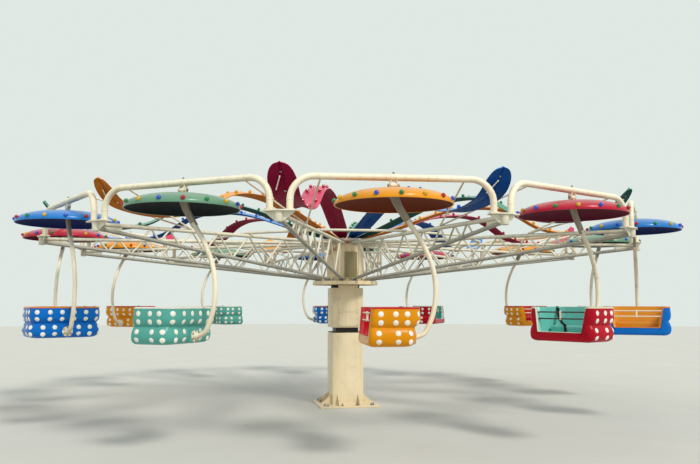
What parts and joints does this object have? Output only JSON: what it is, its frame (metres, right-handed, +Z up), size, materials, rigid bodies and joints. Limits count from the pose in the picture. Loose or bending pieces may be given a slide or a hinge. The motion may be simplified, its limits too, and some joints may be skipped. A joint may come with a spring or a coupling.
{
  "type": "chair swing ride",
  "caption": "Lifting, turning column with lattice arms, petal crown and tube gantries that carry swinging tub gondolas under round canopies.",
  "frame": {"origin": "middle of the base flange's underside, at ground level on the ride's axis", "axes": "+Z up along the turning axis, -Y towards the side that the picture was taken from"},
  "size_m": [12.24, 12.24, 3.871],
  "materials": {
    "cream_steel": "satin paint, weathered",
    "dark_steel": "dark, greasy",
    "shell_yellow": "gloss gel coat",
    "shell_red": "gloss gel coat",
    "shell_blue": "gloss gel coat",
    "shell_green": "gloss gel coat",
    "petal_crimson": "gloss gel coat",
    "petal_blue": "gloss gel coat",
    "petal_green": "gloss gel coat",
    "petal_orange": "gloss gel coat",
    "white_trim": "gloss",
    "zinc_steel": "dull zinc",
    "black_webbing": "matte"
  },
  "bodies": {
    "base": {"base_column": "cream_steel"},
    "lift": {"inner_column": "dark_steel", "lift_housing": "cream_steel", "slewing_ring": "dark_steel"},
    "rotor": {"hub": "cream_steel", "tie_ring": "cream_steel", "arm_01": "cream_steel", "arm_02": "cream_steel", "arm_03": "cream_steel", "arm_04": "cream_steel", "arm_05": "cream_steel", "arm_06": "cream_steel", "arm_07": "cream_steel", "arm_08": "cream_steel", "arm_09": "cream_steel", "arm_10": "cream_steel", "arm_11": "cream_steel", "arm_12": "cream_steel", "gantry_01": "cream_steel", "gantry_02": "cream_steel", "gantry_03": "cream_steel", "gantry_04": "cream_steel", "gantry_05": "cream_steel", "gantry_06": "cream_steel", "gantry_07": "cream_steel", "gantry_08": "cream_steel", "gantry_09": "cream_steel", "gantry_10": "cream_steel", "gantry_11": "cream_steel", "gantry_12": "cream_steel", "petals_crimson": "petal_crimson", "petals_blue": "petal_blue", "petals_green": "petal_green", "petals_orange": "petal_orange"},
    "gondola_01": {"hanger_01": "cream_steel", "tub_01": "shell_yellow"},
    "gondola_02": {"hanger_02": "cream_steel", "tub_02": "shell_red"},
    "gondola_03": {"hanger_03": "cream_steel", "tub_03": "shell_blue"},
    "gondola_04": {"hanger_04": "cream_steel", "tub_04": "shell_green"},
    "gondola_05": {"hanger_05": "cream_steel", "tub_05": "shell_yellow"},
    "gondola_06": {"hanger_06": "cream_steel", "tub_06": "shell_red"},
    "gondola_07": {"hanger_07": "cream_steel", "tub_07": "shell_blue"},
    "gondola_08": {"hanger_08": "cream_steel", "tub_08": "shell_green"},
    "gondola_09": {"hanger_09": "cream_steel", "tub_09": "shell_yellow"},
    "gondola_10": {"hanger_10": "cream_steel", "tub_10": "shell_red"},
    "gondola_11": {"hanger_11": "cream_steel", "tub_11": "shell_blue"},
    "gondola_12": {"hanger_12": "cream_steel", "tub_12": "shell_green"}
  },
  "joints": [
    {"name": "lift_slide", "type": "slide", "parent": "base", "child": "lift", "axis": [0, 0, 1], "range_m": [0, 0.9]},
    {"name": "rotor_spin", "type": "hinge", "parent": "lift", "child": "rotor", "pos_m": [0, 0, 2.33], "axis": [0, 0, 1], "continuous": true},
    {"name": "gondola_01_swing", "type": "hinge", "parent": "rotor", "child": "gondola_01", "pos_m": [0.61411, -5.36497, 3.45], "axis": [-0.9935, -0.1137, 0], "range_deg": [-15, 40]},
    {"name": "gondola_02_swing", "type": "hinge", "parent": "rotor", "child": "gondola_02", "pos_m": [3.21432, -4.33915, 3.45], "axis": [-0.8035, -0.5952, 0], "range_deg": [-15, 40]},
    {"name": "gondola_03_swing", "type": "hinge", "parent": "rotor", "child": "gondola_03", "pos_m": [4.95325, -2.15065, 3.45], "axis": [-0.3983, -0.9173, 0], "range_deg": [-15, 40]},
    {"name": "gondola_04_swing", "type": "hinge", "parent": "rotor", "child": "gondola_04", "pos_m": [5.36497, 0.61411, 3.45], "axis": [0.1137, -0.9935, 0], "range_deg": [-15, 40]},
    {"name": "gondola_05_swing", "type": "hinge", "parent": "rotor", "child": "gondola_05", "pos_m": [4.33915, 3.21432, 3.45], "axis": [0.5952, -0.8035, 0], "range_deg": [-15, 40]},
    {"name": "gondola_06_swing", "type": "hinge", "parent": "rotor", "child": "gondola_06", "pos_m": [2.15065, 4.95325, 3.45], "axis": [0.9173, -0.3983, 0], "range_deg": [-15, 40]},
    {"name": "gondola_07_swing", "type": "hinge", "parent": "rotor", "child": "gondola_07", "pos_m": [-0.61411, 5.36497, 3.45], "axis": [0.9935, 0.1137, 0], "range_deg": [-15, 40]},
    {"name": "gondola_08_swing", "type": "hinge", "parent": "rotor", "child": "gondola_08", "pos_m": [-3.21432, 4.33915, 3.45], "axis": [0.8035, 0.5952, 0], "range_deg": [-15, 40]},
    {"name": "gondola_09_swing", "type": "hinge", "parent": "rotor", "child": "gondola_09", "pos_m": [-4.95325, 2.15065, 3.45], "axis": [0.3983, 0.9173, 0], "range_deg": [-15, 40]},
    {"name": "gondola_10_swing", "type": "hinge", "parent": "rotor", "child": "gondola_10", "pos_m": [-5.36497, -0.61411, 3.45], "axis": [-0.1137, 0.9935, 0], "range_deg": [-15, 40]},
    {"name": "gondola_11_swing", "type": "hinge", "parent": "rotor", "child": "gondola_11", "pos_m": [-4.33915, -3.21432, 3.45], "axis": [-0.5952, 0.8035, 0], "range_deg": [-15, 40]},
    {"name": "gondola_12_swing", "type": "hinge", "parent": "rotor", "child": "gondola_12", "pos_m": [-2.15065, -4.95325, 3.45], "axis": [-0.9173, 0.3983, 0], "range_deg": [-15, 40]}
  ]
}
